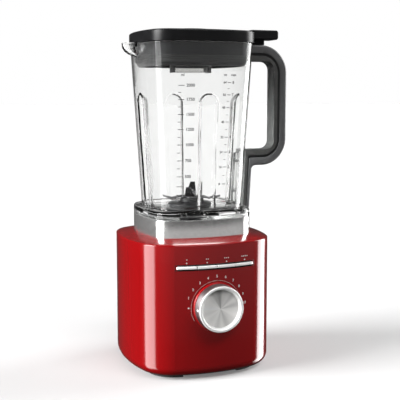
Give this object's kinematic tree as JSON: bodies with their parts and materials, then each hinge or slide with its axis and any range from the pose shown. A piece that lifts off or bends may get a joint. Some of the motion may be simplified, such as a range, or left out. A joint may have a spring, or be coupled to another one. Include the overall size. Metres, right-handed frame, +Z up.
{
  "type": "countertop blender",
  "caption": "Countertop blender: red bowed motor base with push buttons and speed knob, clear fluted jar with spout and handle, black lid with dosing cap.",
  "frame": {"origin": "on the resting plane (underside of the rubber feet), on the motor axis", "axes": "+Z up along the motor axis; the knob and buttons face -Y; the handle is on +X and the spout on -X"},
  "size_m": [0.2415, 0.2215, 0.4626],
  "materials": {
    "red_shell": "gloss red paint on a die-cast shell",
    "dark_plastic": "black moulded",
    "rubber": "soft black",
    "cast_collar": "satin bead-blasted",
    "lamp": "clear light pipe",
    "halo": "red gloss ring",
    "steel_parts": "turned steel",
    "board": "green circuit board",
    "laminations": "stacked steel sheets",
    "copper": "lacquered copper wire",
    "cast_bracket": "die-cast",
    "brass_parts": "machined",
    "carbon": "pressed carbon",
    "knob_metal": "satin chrome",
    "knob_face_metal": "spun disc",
    "pointer_white": "white insert",
    "button_metal": "satin chrome",
    "clear_jar": "clear moulded copolyester",
    "clear_cup": "clear moulded",
    "handle_grey": "dark grey moulded",
    "handle_black": "soft black moulded",
    "blade_steel": "ground steel",
    "lid_black": "satin black moulded"
  },
  "bodies": {
    "base": {"base_housing": "red_shell", "base_plate": "dark_plastic", "rubber_feet": "rubber", "jar_collar": "cast_collar", "jar_pad": "rubber", "button_bezel": "dark_plastic", "indicator_lamps": "lamp", "halo_ring": "halo", "speed_encoder": "steel_parts", "control_board": "board", "push_switches": "dark_plastic", "power_board": "board", "power_components": "dark_plastic", "motor_stator": "laminations", "field_windings": "copper", "lower_motor_bracket": "cast_bracket", "upper_motor_bracket": "cast_bracket", "lower_motor_bearing": "steel_parts", "upper_motor_bearing": "steel_parts", "motor_mounts": "rubber", "motor_bolts": "steel_parts", "brush_holders": "brass_parts", "carbon_brushes": "carbon", "collar_screws": "steel_parts", "base_plate_screws": "steel_parts", "cord_gland": "rubber"},
    "knob": {"knob_body": "knob_metal", "knob_pointer": "pointer_white", "knob_face": "knob_face_metal", "encoder_shaft": "steel_parts"},
    "power_button": {"button_1": "button_metal"},
    "blend_button": {"button_2": "button_metal"},
    "ice_button": {"button_3": "button_metal"},
    "rinse_button": {"button_4": "button_metal"},
    "motor": {"motor_shaft": "steel_parts", "armature_core": "laminations", "armature_winding": "copper", "commutator": "brass_parts", "cooling_fan": "dark_plastic", "drive_coupling": "dark_plastic"},
    "jar": {"jar_body": "clear_jar", "bearing_housing": "dark_plastic", "lower_blade_bearing": "steel_parts", "upper_blade_bearing": "steel_parts", "shaft_seal": "rubber", "floor_gasket": "rubber", "lock_nut": "dark_plastic", "handle_cover": "handle_grey", "handle_core": "handle_black", "handle_screws": "steel_parts"},
    "blades": {"blade_shaft": "steel_parts", "lower_blade": "blade_steel", "upper_blade": "blade_steel", "blade_washer": "steel_parts", "blade_nut": "blade_steel", "driven_coupling": "steel_parts"},
    "lid": {"lid_body": "lid_black", "lid_seal": "rubber"},
    "cap": {"lid_cap": "lid_black", "dosing_cup": "clear_cup"}
  },
  "joints": [
    {"name": "knob_turn", "type": "hinge", "parent": "base", "child": "knob", "pos_m": [0, -0.11, 0.098], "axis": [0, 1, 0], "range_deg": [-28, 178]},
    {"name": "power_press", "type": "slide", "parent": "base", "child": "power_button", "axis": [0, 1, 0], "range_m": [0, 0.001], "stiffness_N_per_m": 300},
    {"name": "blend_press", "type": "slide", "parent": "base", "child": "blend_button", "axis": [0, 1, 0], "range_m": [0, 0.001], "stiffness_N_per_m": 300},
    {"name": "ice_press", "type": "slide", "parent": "base", "child": "ice_button", "axis": [0, 1, 0], "range_m": [0, 0.001], "stiffness_N_per_m": 300},
    {"name": "rinse_press", "type": "slide", "parent": "base", "child": "rinse_button", "axis": [0, 1, 0], "range_m": [0, 0.001], "stiffness_N_per_m": 300},
    {"name": "motor_spin", "type": "hinge", "parent": "base", "child": "motor", "pos_m": [0, 0, 0.1], "axis": [0, 0, 1], "continuous": true},
    {"name": "jar_lift", "type": "slide", "parent": "base", "child": "jar", "axis": [0, 0, 1], "range_m": [0, 0.1]},
    {"name": "blade_spin", "type": "hinge", "parent": "jar", "child": "blades", "pos_m": [0, 0, 0.23], "axis": [0, 0, 1], "continuous": true},
    {"name": "lid_lift", "type": "slide", "parent": "jar", "child": "lid", "axis": [0, 0, 1], "range_m": [0, 0.08]},
    {"name": "cap_lift", "type": "slide", "parent": "lid", "child": "cap", "axis": [0, 0, 1], "range_m": [0, 0.06]}
  ],
  "couplings": [
    {"joint": "blade_spin", "follows": "motor_spin", "ratio": 1}
  ]
}
